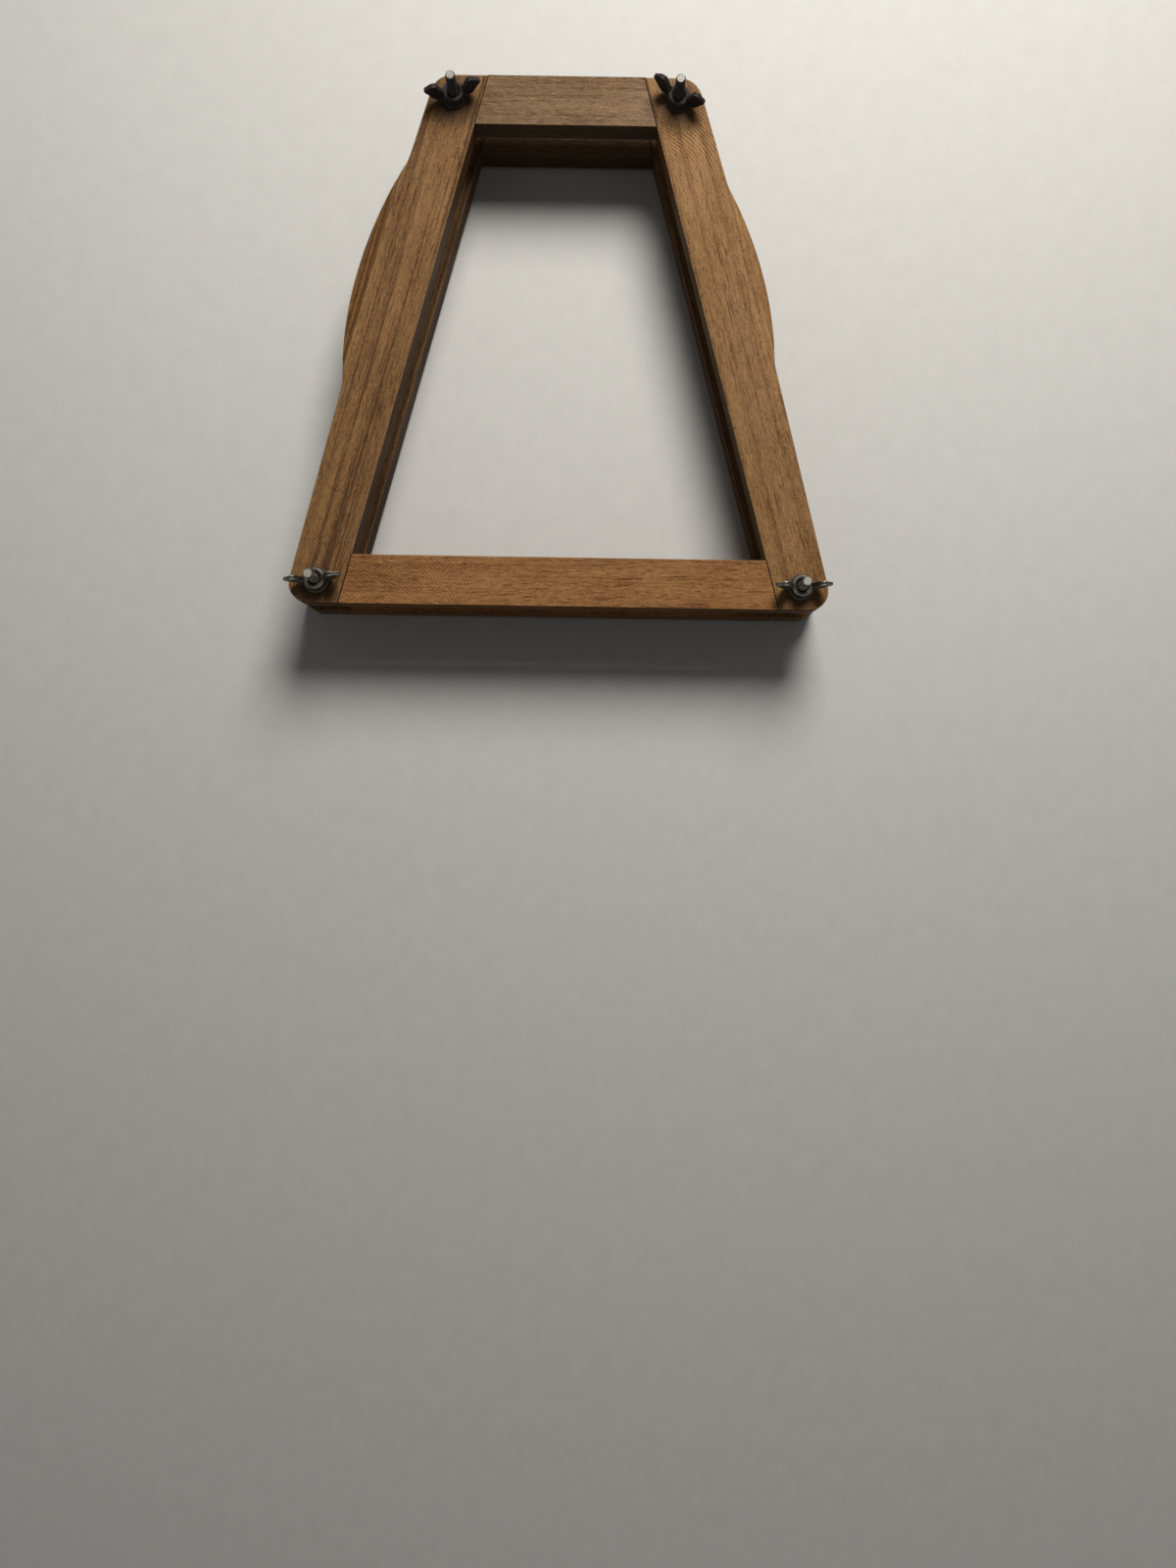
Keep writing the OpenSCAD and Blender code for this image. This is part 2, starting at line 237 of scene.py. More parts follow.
        # Only the swell's flat slopes by 30 degrees, where this is 0.87
        below = add(tree, RANGE, SMOOTH, (upward, 0.9, 0.96, varnish_and_lift, 0.0))
        above = add(tree, RANGE, SMOOTH, (upward, 0.75, 0.82))
        on_flat = add(tree, MATH, "MULTIPLY", (below, above))
        # The flat is made warmer for the varnish left on it, and lighter as painted light, since
        # it faces away from the lamp
        warmth_and_lift = add(tree, VECTOR, "MULTIPLY_ADD", (on_flat, (0.25, 0.2, 0.02), (1.0, 1.0, 1.0)))
        colour = add(tree, VECTOR, "MULTIPLY", (colour, warmth_and_lift)).outputs["Vector"]
    # shade is painted shade: the piece's own, the painted shadow round the washers and that of the
    # walls below
    shade = painted_shade
    for point, inner, outer, left in marks:
        gap = add(tree, VECTOR, "DISTANCE", (place, point)).outputs["Value"]
        mark = add(tree, RANGE, SMOOTH, (gap, inner * MM, outer * MM, left, 1.0))
        shade = add(tree, MATH, "MULTIPLY", (shade, mark))
    # Painted shade: faces that stand upright, a board's walls, are made darker
    edges = add(tree, RANGE, SMOOTH, (upward, 0.3, 0.8, EDGE_SHADE, 1.0))
    shade = add(tree, MATH, "MULTIPLY", (shade, edges))
    colour = add(tree, VECTOR, "SCALE", {0: colour, "Scale": shade}).outputs["Vector"]
    if bare:
        # Handling has rubbed the arrises to paler wood
        worn = add(tree, RANGE, {}, (field(bend, 2.5, 11, 2.0), 0.3, 0.7, 0.0, bare))
        pale = add(tree, VECTOR, "SCALE", {0: BARE_WOOD[:3], "Scale": shade})
        colour = add(tree, MIX, COLOUR,
                     {"Factor": worn, "A": colour, "B": pale}).outputs["Result"]
    # Dirt lies in the line where a rail is glued to a stile, above and below the window
    split = add(tree, SPLIT, {}, (place,)).outputs
    across, up = (add(tree, MATH, "ABSOLUTE", (split[axis],)) for axis in "XY")
    lean = add(tree, MATH, "MULTIPLY_ADD", (split["Y"], math.tan(LEAN), -INNER_X))
    off = add(tree, MATH, "ABSOLUTE", (add(tree, MATH, "ADD", (lean, across)),))
    full, none = JOINT_DIRT
    line = add(tree, RANGE, SMOOTH, (off, full * MM, none * MM, 0.95, 0.0))
    line = add(tree, MATH, "MULTIPLY", (line, add(tree, MATH, "GREATER_THAN", (up, WINDOW_Y))))
    colour = add(tree, MIX, COLOUR,
                 {"Factor": line, "A": colour, "B": DIRT}).outputs["Result"]
    # The varnished surface is worn dull, and less shine is left than on a fresh coat
    gloss = add(tree, RANGE, {}, (patches, 0.3, 0.7, 0.55 + 0.1 * bare, 0.75))
    relief = add(tree, MATH, "MULTIPLY_ADD", (dash, -1.0, fibres))
    bump = add(tree, BUMP, {}, {"Strength": 0.4, "Distance": 0.12 * MM, "Height": relief})
    joined(tree, bsdf, Base_Color=colour, Roughness=gloss, Normal=bump)
    bsdf.inputs["Specular IOR Level"].default_value = 0.12
    return made


def stile_wood(name, side, shift, look, bare):
    """The wood of a stile, its pattern lined up with the stile's inner edge."""
    return hardwood(name, along=side * LEAN, at=(side * INNER_X, 0), shift=shift, bare=bare,
                    **look)


def rail_wood(name, shift, look, bare):
    """The wood of a rail, with its grain along X."""
    return hardwood(name, along=math.radians(90), at=(0, 0), shift=shift, bare=bare, **look)


# Frame pieces

ARRIS = 0.65 * MM         # how far the free arrises are rounded
SEAM_SHARE = 0.25         # of that, on the arrises of a glued joint
HOLE_SHARE = 0.3          # and round a bolt hole
RUNOUT_SHARE = 0.4        # and where the swell's flat runs out, for RUNOUT on both sides
RUNOUT = 7 * MM
RIDGE = math.radians(25), math.radians(35)          # turn at the ridge of the swell's flat
RIDGE_SHARE = 0.7
BEND = math.radians(40)   # an arris turns by more than this
UPRIGHT = 9 * MM          # an arris that runs through a board's thickness is longer than this
WELD = 0.02 * MM          # corners nearer than this are one
NEAR = 0.1 * MM           # and nearer than this to a face or to the window's end is on it


def in_joint(vert):
    """True for a corner in the plane of a glued joint, which is also a stile's inner edge."""
    x, y = abs(vert.co.x), vert.co.y
    return abs(x - (INNER_X - y * math.tan(LEAN))) < WELD


def part_at_window(bm):
    """Parts a stile's long inner edges where the glued joints end and the window starts."""
    for edge in list(bm.edges):
        low, high = sorted(edge.verts, key=lambda v: v.co.y)
        length = high.co.y - low.co.y
        if in_joint(low) and in_joint(high) and length > 2.1 * WINDOW_Y:
            _, first = bmesh.utils.edge_split(edge, low, (-WINDOW_Y - low.co.y) / length)
            rest = next(e for e in first.link_edges if high in e.verts)
            bmesh.utils.edge_split(rest, first, 2 * WINDOW_Y / (high.co.y + WINDOW_Y))


def arris_share(edge, low, high, runouts):
    """How much of the full rounding an edge gets, from 0 to 1."""
    turn = edge.calc_face_angle(0) if len(edge.link_faces) == 2 else 0
    if RIDGE[0] < turn < RIDGE[1]:
        return RIDGE_SHARE
    inside = all(low.z + NEAR < v.co.z < high.z - NEAR for v in edge.verts)
    upright = abs(edge.verts[0].co.z - edge.verts[1].co.z) > UPRIGHT
    if turn < BEND or inside and not upright:
        return 0.0
    if any((v.co.xy - spot.xy).length < 2 * BOLT_R
           for v in edge.verts for spot in BOLT_AT.values()):
        return HOLE_SHARE
    if all(in_joint(v) and abs(v.co.y) > WINDOW_Y - NEAR for v in edge.verts):
        return SEAM_SHARE
    if any((v.co - end).length < RUNOUT for v in edge.verts for end in runouts):
        return RUNOUT_SHARE
    return 1.0


def frame_piece(node, body, slot, plain, worn):
    """A stile or rail: the CAD form with rounded arrises."""
    bm = bmesh.new()
    bm.from_mesh(NODES[node].data)
    bmesh.ops.remove_doubles(bm, verts=bm.verts, dist=WELD)
    bmesh.ops.dissolve_limit(bm, angle_limit=math.radians(0.2), verts=bm.verts, edges=bm.edges)
    part_at_window(bm)
    low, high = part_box(node)
    runouts = [v.co.copy() for e in bm.edges if len(e.link_faces) == 2
               and RIDGE[0] < e.calc_face_angle(0) < RIDGE[1] for v in e.verts]
    weight = bm.edges.layers.float.new("bevel_weight_edge")
    for edge in bm.edges:
        edge[weight] = arris_share(edge, low, high, runouts)
    made = from_bmesh(node + "_wood", bm, plain, worn)
    rounding = made.modifiers.new("arris", "BEVEL")
    rounding.limit_method = "WEIGHT"
    rounding.width = ARRIS
    rounding.segments = 3
    rounding.material = 1
    rounding.use_clamp_overlap = False
    rounding.loop_slide = False
    settle(made)
    smooth(made, 25)
    weigh = made.modifiers.new("weigh", "WEIGHTED_NORMAL")
    weigh.keep_sharp = True
    settle(made)
    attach(made, body)
    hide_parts(node)


def grime_and_shadow(key, reach, left):
    """Grime and rubbed metal round a washer on the front, with the nut's shadow painted on too: it
    is centred 3 mm below the bolt, so that more of it lies below than above. It is full as far as
    5.5 mm and fades out at reach."""
    spot = BOLT_AT[key]
    # Painted shadow as well as grime: the spot is moved down, where the nut's shadow falls
    return [((spot.x, spot.y - 3 * MM, FACE_Z), 5.5, reach, left)]


def chips(*spots):
    """Small chips in the front's arris, not cut in the mesh but painted as dark spots of their
    shade and dirt, 0.8 mm wide, at places in the plan in mm.
    """
    return [((x * MM, y * MM, FACE_Z - 0.3 * MM), 0.4, 0.9, 0.45) for x, y in spots]


# The left stile's tones are darker than the right's: partly its own wood, partly painted shade, as
# the light falls more on the right
LEFT = {"light": "#9d754a", "dark": "#4d321c", "stripes": 0.45, "varnish_and_lift": 0.8,
        "marks": grime_and_shadow("top_left", 17, 0.3) + grime_and_shadow("bottom_left", 14, 0.4),
        "ripples": [((-180, -160), (-127, -100), 22, 0.12)]}
RIGHT = {"light": "#aa8153", "dark": "#5c3c21", "stripes": 0.2,
         "marks": (grime_and_shadow("top_right", 18, 0.35) + grime_and_shadow("bottom_right", 12, 0.4)
                   + chips((71.9, 24.3), (74.7, 17.0), (86.2, -31.4), (90.4, -44.0))),
         "ripples": [((32, 67), (66, 108), 28, 0.34)]}
TOP = {"light": "#967757", "dark": "#4f3a26", "wander": (4, 24), "pore": 10.0, "stripes": 0.15}
BOTTOM = {"light": "#b98654", "dark": "#5f391a", "wander": (5, 30), "pore": 9.0,
          "stripes": 0.15, "ripples": [((-154, -208), (-80, -126), 55, 0.13)]}

# The back frame gets painted shade: its colour is made darker all over
for face, deep, painted_shade in (("front", 0.0, 1.0), ("back", 300.0, 0.75)):
    for side, sign, look in (("left", -1, LEFT), ("right", 1, RIGHT)):
        look = dict(look, painted_shade=painted_shade)
        woods = [stile_wood(f"{face} {side} stile, {state}", sign, (deep + 40 * sign, deep, deep),
                            look, bare)
                 for state, bare in (("varnished", 0.0), ("worn arris", 0.8))]
        frame_piece(f"{face}_{side}_stile", f"{face}_frame", "stile_wood", *woods)
    for end, place, look in (("top", 70.0, TOP), ("bottom", 0.0, BOTTOM)):
        look = dict(look, painted_shade=painted_shade)
        woods = [rail_wood(f"{face} {end} rail, {state}", (deep + 90, place, deep), look, bare)
                 for state, bare in (("varnished", 0.0), ("worn arris", 0.6))]
        frame_piece(f"{face}_{end}_rail", f"{face}_frame", "rail_wood", *woods)


# Dowels, hidden in the joints

def beech(name):
    """Turned beech, bare: pale and even, with short flecks along the dowel."""
    made, tree, bsdf = shader(name)
    place = add(tree, "ShaderNodeTexCoord").outputs["Object"]
    # Flecks 0.8 mm wide and ten times as long
    flecks = add(tree, MAPPING, {}, {"Vector": place, "Scale": (120, 1200, 1200)})
    flecks = add(tree, NOISE, {}, {"Vector": flecks, "Scale": 1.0, "Detail": 2.0})
    colour = add(tree, MIX, COLOUR,
                 {"Factor": flecks, "A": tone("#d3b48c"), "B": tone("#b08a5f")})
    bump = add(tree, BUMP, {}, {"Strength": 0.2, "Distance": 0.1 * MM, "Height": flecks})
    joined(tree, bsdf, Base_Color=colour.outputs["Result"], Normal=bump)
    bsdf.inputs["Roughness"].default_value = 0.65
    return made


DOWEL = beech("bare turned beech")
for name, obj in NODES.items():
    if name.endswith("_dowels"):
        obj.data.materials.clear()
        obj.data.materials.append(DOWEL)


# Metal

def old_metal(name, skin, dirt, bright, metallic, rough, polish, pits, shine):
    """Old plated or blackened metal, in clouds of two tones, skin and dirt. The attribute
    rubbed says where its edges are worn bright, with the roughness polish, and pits is the
    depth of its grain."""
    made, tree, bsdf = shader(name)
    place = add(tree, "ShaderNodeTexCoord").outputs["Object"]
    # Clouds about 2.4 mm across and grain of 0.4 mm
    cloud = add(tree, NOISE, {},
                {"Vector": place, "Scale": 420.0, "Detail": 4.0, "Roughness": 0.6})
    grain = add(tree, NOISE, {},
                {"Vector": place, "Scale": 2600.0, "Detail": 2.0, "Roughness": 0.6})
    spread = add(tree, RANGE, {}, (cloud, 0.35, 0.65))
    colour = add(tree, MIX, COLOUR,
                 {"Factor": spread, "A": tone(dirt), "B": tone(skin)}).outputs["Result"]
    rubbed = add(tree, "ShaderNodeAttribute", {"attribute_name": "rubbed"}).outputs["Fac"]
    edge = add(tree, MATH, "MULTIPLY_ADD", (grain, 0.5, rubbed))
    edge = add(tree, RANGE, SMOOTH, (edge, 0.6, 0.85))
    colour = add(tree, MIX, COLOUR,
                 {"Factor": edge, "A": colour, "B": tone(bright)}).outputs["Result"]
    gloss, metal = (add(tree, MIX, {"data_type": "FLOAT"}, {"Factor": edge, "A": old, "B": new})
                    for old, new in ((rough, polish), (metallic, 1.0)))
    bump = add(tree, BUMP, {}, {"Strength": 0.5, "Distance": pits, "Height": grain})
    joined(tree, bsdf, Base_Color=colour, Roughness=gloss, Metallic=metal, Normal=bump)
    bsdf.inputs["Specular IOR Level"].default_value = shine
    return made


METAL = {
    "top": old_metal("blackened iron, cast and rusty", skin="#1e1714", dirt="#0e0a08",
                     bright="#a29d96", metallic=0.1, rough=0.65, polish=0.5,
                     pits=0.08 * MM, shine=0.25),
    "bottom": old_metal("dull nickel plate on cast iron", skin="#57534a", dirt="#2a2721",
                        bright="#bdb7aa", metallic=0.75, rough=0.45, polish=0.35,
                        pits=0.06 * MM, shine=0.5),
    # The washers below are dark partly with grime and partly as painted shade, for the shadow of
    # the nuts they lie in
    "washer": old_metal("steel washer, browned with grime and painted shade", skin="#3b352d", dirt="#1a1612",
                        bright="#8f8a80", metallic=0.4, rough=0.55, polish=0.45,
                        pits=0.06 * MM, shine=0.4),
}
RUBBED = {"top": 0.7, "bottom": 0.9}      # how bright the edges of the nuts are worn
WASHER_RUBBED = 0.45                      # and of the washers, as a share of that
END_RUBBED, HEAD_RUBBED = 0.48, 0.45      # and the cut ends and heads of the bolts
# How far that reaches: down from a bolt's end, up from the floor and in from a washer's rim
END_BAND, HEAD_BAND, RIM_BAND = 0.45 * MM, 1.2 * MM, 0.35 * MM


def rub(obj, found):
    """Writes the attribute rubbed from a list of one value for each vertex."""
    layer = obj.data.attributes.new("rubbed", "FLOAT", "POINT")
    layer.data.foreach_set("value", found)


def lathe(bm, profile, steps, place=Vector((0, 0, 0))):
    """Adds a turned shape: profile is a list of (radius, height), closed at both ends if
    it starts and ends on the axis, and otherwise a ring."""
    rows = []
    for radius, height in profile:
        if radius < 1e-9:
            rows.append([bm.verts.new(place + Vector((0, 0, height)))])
            continue
        rows.append([bm.verts.new(place + Vector((radius * math.cos(a), radius * math.sin(a),
                                                  height)))
                     for a in (2 * math.pi * i / steps for i in range(steps))])
    ring = len(rows[0]) > 1
    pairs = list(zip(rows, rows[1:])) + ([(rows[-1], rows[0])] if ring else [])
    for low, high in pairs:
        for i in range(steps):
            j = (i + 1) % steps
            corners = [low[i % len(low)], low[j % len(low)],
                       high[j % len(high)], high[i % len(high)]]
            bm.faces.new(dict.fromkeys(corners))


def rounded(corners, reaches, steps=4):
    """A profile's points with each corner turned into a small arc, which starts and ends at
    its reach from the corner."""
    made = []
    for i, (corner, reach) in enumerate(zip(corners, reaches)):
        here = Vector(corner)
        before, after = Vector(corners[i - 1]), Vector(corners[(i + 1) % len(corners)])
        a, b = (before - here).normalized(), (after - here).normalized()
        for k in range(steps + 1):
            t = k / steps
            p = here + a * reach * (1 - t) ** 2 + b * reach * t ** 2
            made.append((p.x, p.y))
    return made


# Bolts

def thread_tree():
    """A rolled thread on a closed rod, its rows wound up the rod: the crest stands at
    Radius, the root Depth below it, and the end is bevelled and capped."""
    tree = bpy.data.node_groups.new("rolled thread", "GeometryNodeTree")
    for name, kind, value in (
            ("Radius", "NodeSocketFloat", BOLT_R), ("Pitch", "NodeSocketFloat", THREAD_PITCH),
            ("Depth", "NodeSocketFloat", 0.45 * MM), ("Bevel", "NodeSocketFloat", 0.6 * MM),
            ("Start", "NodeSocketVector", (0, 0, 0)), ("Length", "NodeSocketFloat", 0.04),
            ("Rows", "NodeSocketInt", 400), ("Steps", "NodeSocketInt", 37),
            ("Metal", "NodeSocketMaterial", None)):
        socket = tree.interface.new_socket(name, in_out="INPUT", socket_type=kind)
        if value is not None:
            socket.default_value = value
    tree.interface.new_socket("Geometry", in_out="OUTPUT", socket_type="NodeSocketGeometry")
    given = tree.nodes.new("NodeGroupInput").outputs

    # A flat sheet, its X the angle in turns and its Y the way along the rod's own outline
    both_caps = add(tree, MATH, "MULTIPLY", (given["Radius"], 2.0))
    outline = add(tree, MATH, "ADD", (given["Length"], both_caps))
    sheet = add(tree, "GeometryNodeMeshGrid", {},
                {"Size X": 1.0, "Size Y": outline,
                 "Vertices X": given["Steps"], "Vertices Y": given["Rows"]})
    flat = add(tree, SPLIT, {}, (add(tree, "GeometryNodeInputPosition"),)).outputs
    half = add(tree, MATH, "MULTIPLY", (outline, 0.5))
    way = add(tree, MATH, "ADD",
              (flat["Y"], add(tree, MATH, "SUBTRACT", (half, given["Radius"]))))
    height = add(tree, MATH, "MAXIMUM", (way, 0.0))
    height = add(tree, MATH, "MINIMUM", (height, given["Length"]))
    # The thread's flank is a triangle wave of the height less the angle's share of a pitch,
    # with its crest and its root cut flat
    wound = add(tree, MATH, "DIVIDE", (height, given["Pitch"]))
    wound = add(tree, MATH, "SUBTRACT", (wound, flat["X"]))
    flank = add(tree, MATH, "PINGPONG", (wound, 0.5))
    flank = add(tree, RANGE, {}, (flank, 0.06, 0.42, 0.0, given["Depth"]))
    body = add(tree, MATH, "SUBTRACT", (given["Radius"], flank))
    # The bevel at the end, then the caps, which close on the axis
    left = add(tree, MATH, "SUBTRACT", (given["Length"], height))
    taper = add(tree, MATH, "SUBTRACT", (given["Radius"], given["Bevel"]))
    taper = add(tree, MATH, "ADD", (taper, left))
    above = add(tree, MATH, "SUBTRACT", (way, given["Length"]))
    below = add(tree, MATH, "MULTIPLY", (way, -1.0))
    beyond = add(tree, MATH, "MAXIMUM", (add(tree, MATH, "MAXIMUM", (above, below)), 0.0))
    closing = add(tree, MATH, "SUBTRACT", (given["Radius"], beyond))
    radius = add(tree, MATH, "MINIMUM", (add(tree, MATH, "MINIMUM", (body, taper)), closing))
    radius = add(tree, MATH, "MAXIMUM", (radius, 0.0))
    angle = add(tree, MATH, "MULTIPLY", (flat["X"], 2 * math.pi))
    x, y = (add(tree, MATH, "MULTIPLY", (radius, add(tree, MATH, wave, (angle,))))
            for wave in ("COSINE", "SINE"))
    spot = add(tree, "ShaderNodeCombineXYZ", {}, (x, y, height))
    spot = add(tree, VECTOR, "ADD", (spot, given["Start"]))
    rod = add(tree, "GeometryNodeSetPosition", {}, {"Geometry": sheet, "Position": spot})
    rod = add(tree, "GeometryNodeMergeByDistance", {}, {"Geometry": rod, "Distance": 1e-6})
    rod = add(tree, "GeometryNodeRealizeInstances", {}, {"Geometry": rod})
    rod = add(tree, "GeometryNodeSetMaterial", {}, {"Geometry": rod, "Material": given["Metal"]})
    add(tree, "NodeGroupOutput", {}, {"Geometry": rod})
    return tree


THREAD = thread_tree()
THREAD_FROM = 24 * MM     # where a bolt's thread starts, above the floor
ROWS_A_TURN = 7           # rows of the mesh in one turn of the thread
LAP = 0.05 * MM           # how far the neck runs into the head
HEAD_EASE, NECK_EASE = 0.15 * MM, 0.3 * MM          # bevels of the head's rim and the neck
DOME_STEPS = 16


def threaded_rod(name, start, length, metal):
    """A mesh of the thread from start up, made by the node tree."""
    made = new_object(name, bpy.data.meshes.new(name))
    grow = made.modifiers.new("thread", "NODES")
    grow.node_group = THREAD
    sockets = {s.name: s.identifier for s in THREAD.interface.items_tree
               if s.item_type == "SOCKET" and s.in_out == "INPUT"}
    grow[sockets["Start"]] = start
    grow[sockets["Length"]] = length
    grow[sockets["Rows"]] = int(length / THREAD_PITCH * ROWS_A_TURN)
    grow[sockets["Metal"]] = metal
    return settle(made)


def bolt(end, side):
    """A domed bolt: turned head, square neck, plain shank and rolled thread."""
    spot = BOLT_AT[f"{end}_{side}"].copy()
    spot.z = 0
    bm = bmesh.new()
    dome_h = HEAD_H - HEAD_RIM
    dome_r = (HEAD_R ** 2 + dome_h ** 2) / (2 * dome_h)
    rim = math.asin(HEAD_R / dome_r)
    profile = [(dome_r * math.sin(a), dome_r * (1 - math.cos(a)))
               for a in (rim * i / DOME_STEPS for i in range(DOME_STEPS + 1))]
    profile += [(HEAD_R, HEAD_H - HEAD_EASE), (HEAD_R - HEAD_EASE, HEAD_H), (0, HEAD_H)]
    lathe(bm, profile, 72, spot)
    # The plain shank is a hair thinner than the thread's crest and runs a little way into it
    core = BOLT_R - 0.02 * MM
    lathe(bm, [(0, HEAD_H), (core, HEAD_H), (core, THREAD_FROM + MM), (0, THREAD_FROM + MM)],
          48, spot)
    # The neck comes last: a shape made after its bevel would take up the faces that the bevel
    # frees, in an order that differs from run to run
    middle = spot + Vector((0, 0, HEAD_H + NECK_L / 2 - LAP))
    square = bmesh.ops.create_cube(
        bm, size=1.0, matrix=Matrix.Translation(middle)
        @ Matrix.Diagonal((NECK_W, NECK_W, NECK_L + 2 * LAP, 1)))
    sides = list(dict.fromkeys(e for v in square["verts"] for e in v.link_edges))
    bmesh.ops.bevel(bm, geom=sides, offset=NECK_EASE, segments=2, affect="EDGES")
    bmesh.ops.recalc_face_normals(bm, faces=bm.faces)
    made = from_bmesh(f"bolt_{end}_{side}_threaded", bm, METAL[end])
    rod = threaded_rod("rod", spot + Vector((0, 0, THREAD_FROM)), TIP_Z - THREAD_FROM, METAL[end])
    bm = bmesh.new()
    bm.from_mesh(made.data)
    bm.from_mesh(rod.data)
    bmesh.ops.recalc_face_normals(bm, faces=bm.faces)
    bm.to_mesh(made.data)
    bm.free()
    bpy.data.objects.remove(rod)
    # The cut end is bright, and the head's dome is rubbed in the middle
    rub(made, [END_RUBBED if v.co.z > TIP_Z - END_BAND else
               HEAD_RUBBED if v.co.z < HEAD_BAND else 0.0 for v in made.data.vertices])
    smooth(made, 30)
    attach(made, "back_frame")
    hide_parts(f"bolt_{end}_{side}")


def washer(end, side):
    """A stamped washer with its edges turned over by the press."""
    low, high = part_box(f"washer_{end}_{side}")
    spot = BOLT_AT[f"{end}_{side}"].copy()
    spot.z = low.z
    thick, outer = high.z - low.z, (high.x - low.x) / 2
    inner = BOLT_R + HOLE_CLEAR
    corners = [(inner, 0), (outer, 0), (outer, thick), (inner, thick)]
    bm = bmesh.new()
    lathe(bm, rounded(corners, [0.12 * MM, 0.15 * MM, 0.4 * MM, 0.25 * MM]), 64, spot)
    bmesh.ops.recalc_face_normals(bm, faces=bm.faces)
    metal = METAL["top" if end == "top" else "washer"]
    made = from_bmesh(f"washer_{end}_{side}_stamped", bm, metal)
    rub(made, [RUBBED[end] * WASHER_RUBBED
               if (v.co.xy - spot.xy).length > outer - RIM_BAND else 0.0
               for v in made.data.vertices])
    smooth(made, 40)
    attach(made, f"{end}_{side}_washer")
    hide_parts(f"washer_{end}_{side}")


# Wing nuts

NUT_FOOT_R, NUT_TOP_R, NUT_FOOT_H, NUT_H = 6 * MM, 5.35 * MM, 1.2 * MM, 4.2 * MM
NUT_BORE_R, MOUTH_R = 2.55 * MM, 3.8 * MM
WING_ROOT_T, WING_TIP_T = 3.4 * MM, 1.6 * MM
WING_REACH = 14.7 * MM
VOXEL = 0.24 * MM         # the grain of the mesh that merges a nut's shapes
# Circles whose hull is a wing's side view: (out, up, radius)
WING_SIDE = [(7.75, 3.4, 3.2), (9.8, 9.6, 2.4), (12.6, 8.6, 2.1)]


def hull_outline(circles, steps=40):
    """The outline round some circles, as points going round."""
    points = [Vector((x + r * math.cos(a), y + r * math.sin(a))) * MM
              for x, y, r in circles for a in (2 * math.pi * i / steps for i in range(steps))]
    points.sort(key=lambda p: (p.x, p.y))

    def chain(run):
        kept = []
        for p in run:
            while len(kept) > 1 and (kept[-1] - kept[-2]).cross(p - kept[-2]) <= 0:
                kept.pop()
            kept.append(p)
        return kept[:-1]

    return chain(points) + chain(points[::-1])


def wing(bm, way):
    """One wing of the casting: its side view with a thickness that tapers to the tip."""
    outline = hull_outline(WING_SIDE)
    walls = []
    for face in (-1, 1):
        row = []
        for p in outline:
            share = min(1.0, max(0.0, p.x / WING_REACH))
            thick = WING_ROOT_T + (WING_TIP_T - WING_ROOT_T) * share
            row.append(bm.verts.new((way * p.x, face * thick / 2, p.y)))
        walls.append(row)
    bm.faces.new(walls[0])
    bm.faces.new(walls[1][::-1])
    for i in range(len(outline)):
        j = (i + 1) % len(outline)
        bm.faces.new((walls[0][i], walls[1][i], walls[1][j], walls[0][j]))


def nut_casting():
    """The wing nut on its own axis, foot at 0: shapes merged, then eased as a casting is."""
    bm = bmesh.new()
    corners = [(NUT_BORE_R, 0), (NUT_FOOT_R, 0), (NUT_FOOT_R, NUT_FOOT_H),
               (NUT_TOP_R, NUT_H), (MOUTH_R, NUT_H), (NUT_BORE_R, NUT_H - MOUTH_R + NUT_BORE_R)]
    lathe(bm, corners, 96)
    wing(bm, 1)
    wing(bm, -1)
    bmesh.ops.recalc_face_normals(bm, faces=bm.faces)
    made = from_bmesh("casting", bm)
    merge = made.modifiers.new("merge", "REMESH")
    merge.mode = "VOXEL"
    merge.voxel_size = VOXEL
    ease = made.modifiers.new("ease", "SMOOTH")
    ease.factor, ease.iterations = 0.5, 7
    settle(made)
    mesh = made.data
    bpy.data.objects.remove(made)
    return mesh


CASTING = nut_casting()


def worn_edges(mesh):
    """For each vertex, how far it stands out from those round it, as 0 to 1."""
    bm = bmesh.new()
    bm.from_mesh(mesh)
    found = []
    for vert in bm.verts:
        round_it = [e.other_vert(vert).co for e in vert.link_edges]
        middle = sum(round_it, Vector()) / len(round_it)
        out = (vert.co - middle).dot(vert.normal) / VOXEL
        # Fully bright where it stands out by a sixth of a voxel or more
        found.append(min(1.0, max(0.0, out * 7 - 0.15)))
    bm.free()
    return found


WORN = worn_edges(CASTING)


def wing_nut(end, side):
    """The casting, turned as in the photograph and set on its washer."""
    key = f"{end}_{side}"
    spot = BOLT_AT[key].copy()
    spot.z = NUT_Z
    mesh = CASTING.copy()
    mesh.transform(Matrix.Translation(spot) @ Matrix.Rotation(math.radians(NUT_TURN[key]), 4, "Z"))
    made = new_object(f"wing_nut_{key}_cast", mesh, METAL[end])
    rub(made, [RUBBED[end] * found for found in WORN])
    smooth(made, 60)
    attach(made, f"{key}_nut")
    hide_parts(f"wing_nut_{key}")


for end, side in CORNERS:
    bolt(end, side)
    washer(end, side)
    wing_nut(end, side)


# Floor, light and camera

def seen(tree):
    """1 for a ray that the eye or a shiny surface sends, and 0 for the light's own paths."""
    rays = add(tree, "ShaderNodeLightPath").outputs
    best = add(tree, MATH, "MAXIMUM", (rays["Is Camera Ray"], rays["Is Glossy Ray"]))
    return add(tree, MATH, "MAXIMUM", (best, rays["Is Transmission Ray"]))


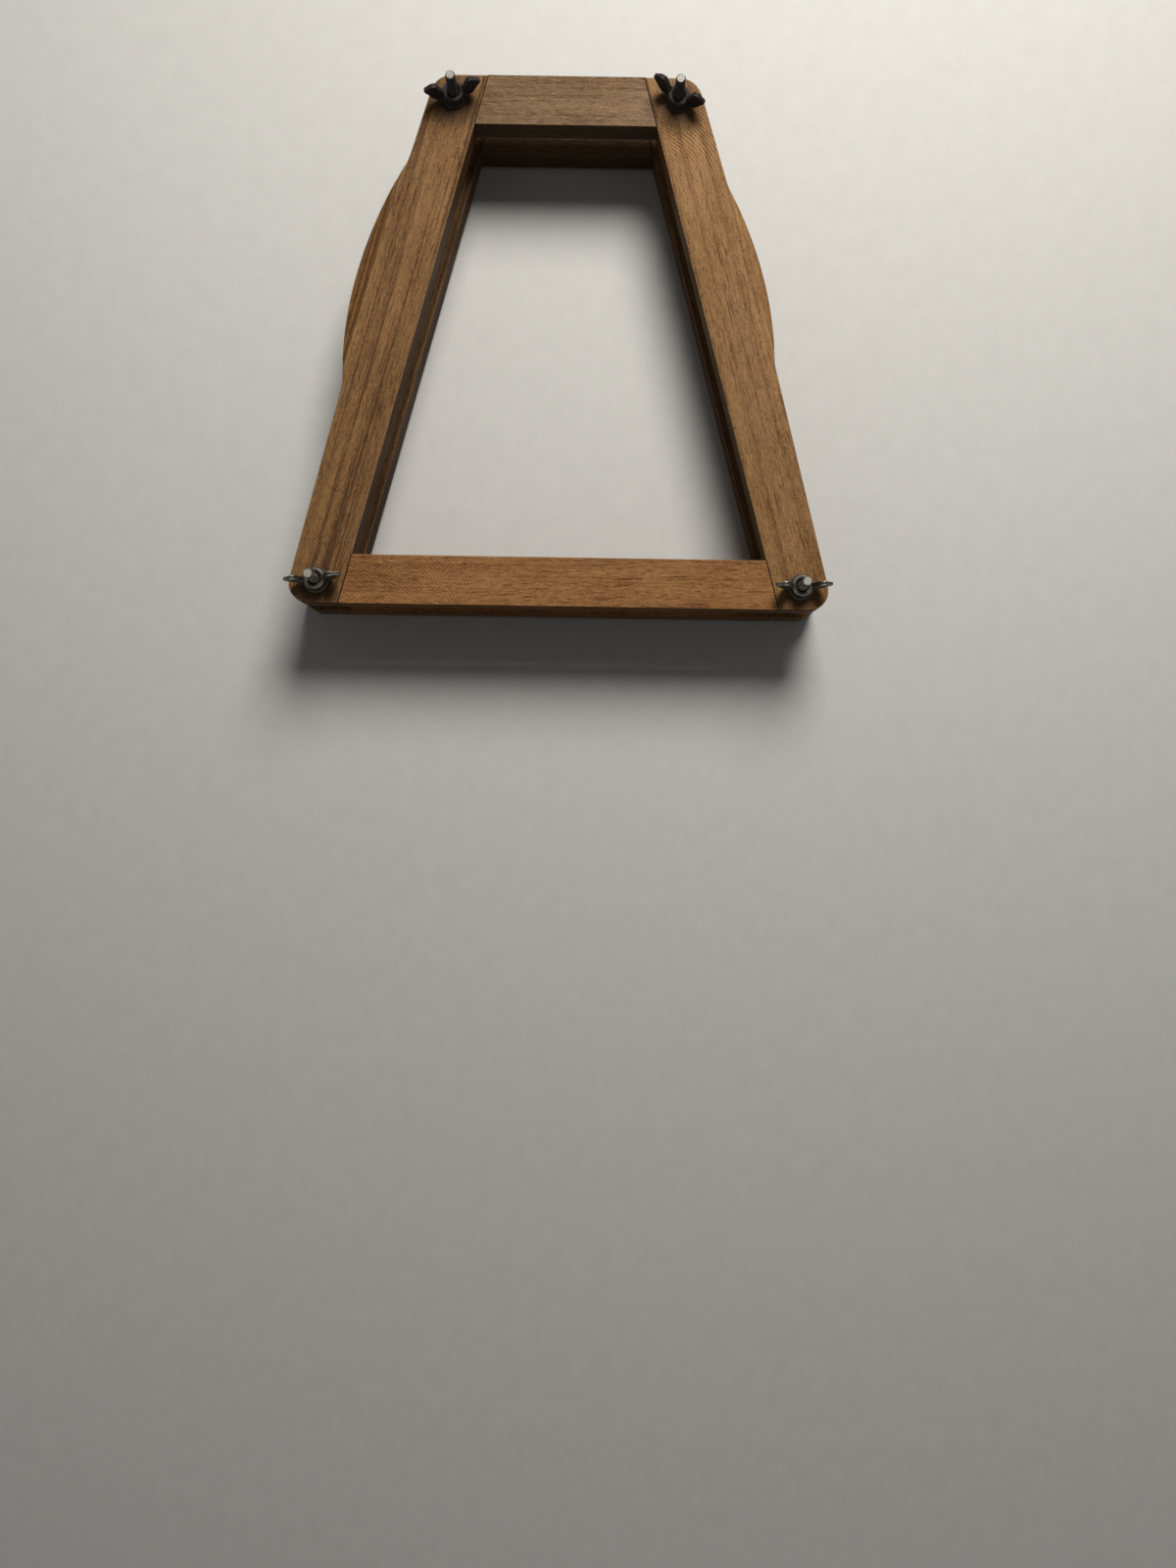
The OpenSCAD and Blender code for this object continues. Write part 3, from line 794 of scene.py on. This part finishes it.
def pale_floor():
    """Matt pale card. It looks pale but throws back only as much light as a grey rug."""
    made, tree, bsdf = shader("pale matt card")
    place = add(tree, "ShaderNodeTexCoord").outputs["Object"]
    fleck = add(tree, NOISE, {}, {"Vector": place, "Scale": 90.0, "Detail": 3.0})
    pale = add(tree, MIX, COLOUR,
               {"Factor": fleck, "A": tone("#d2d0cc"), "B": tone("#dcdad6")})
    colour = add(tree, MIX, COLOUR,
                 {"Factor": seen(tree), "A": tone("#484746"), "B": pale.outputs["Result"]})
    joined(tree, bsdf, Base_Color=colour.outputs["Result"])
    bsdf.inputs["Roughness"].default_value = 0.9
    return made


bm = bmesh.new()
bmesh.ops.create_grid(bm, x_segments=1, y_segments=1, size=3.0)
floor = from_bmesh("floor", bm, pale_floor())

AMBIENT = 0.085           # how much light the sky throws
SKY_LOOK = 0.9            # how bright it looks
world = bpy.data.worlds.new("studio")
bpy.context.scene.world = world
world.use_nodes = True
sky = world.node_tree.nodes["Background"]
sky.inputs["Color"].default_value = tone("#eeeeec")
joined(world.node_tree, sky,
       Strength=add(world.node_tree, RANGE, {},
                    (seen(world.node_tree), 0.0, 1.0, AMBIENT, SKY_LOOK)))


def soft_light(name, place, aim, size, power, colour):
    data = bpy.data.lights.new(name, "AREA")
    data.shape = "DISK"
    data.size, data.energy = size, power
    data.color = tone(colour)[:3]
    made = bpy.data.objects.new(name, data)
    bpy.context.scene.collection.objects.link(made)
    made.location = place
    made.rotation_euler = (Vector(aim) - Vector(place)).to_track_quat("-Z", "Y").to_euler()


# The photograph's one window, beyond the narrow end and a little to the right
soft_light("window light", place=(0.2, 0.66, 0.8), aim=(0, 0, 0), size=0.55, power=12.3,
           colour="#fffdf8")

# A camera straight above, as the lean of the walls and bolts in the photograph shows
lens = bpy.data.cameras.new("camera")
camera = bpy.data.objects.new("camera", lens)
bpy.context.scene.collection.objects.link(camera)
bpy.context.scene.camera = camera
lens.sensor_width, lens.lens = 36.0, 27.045
lens.clip_start, lens.clip_end = 0.01, 20.0
camera.location = (0.01698, -0.23026, 0.6591)
camera.rotation_euler = (0, 0, math.radians(0.9))
bpy.context.scene.view_settings.view_transform = "Standard"
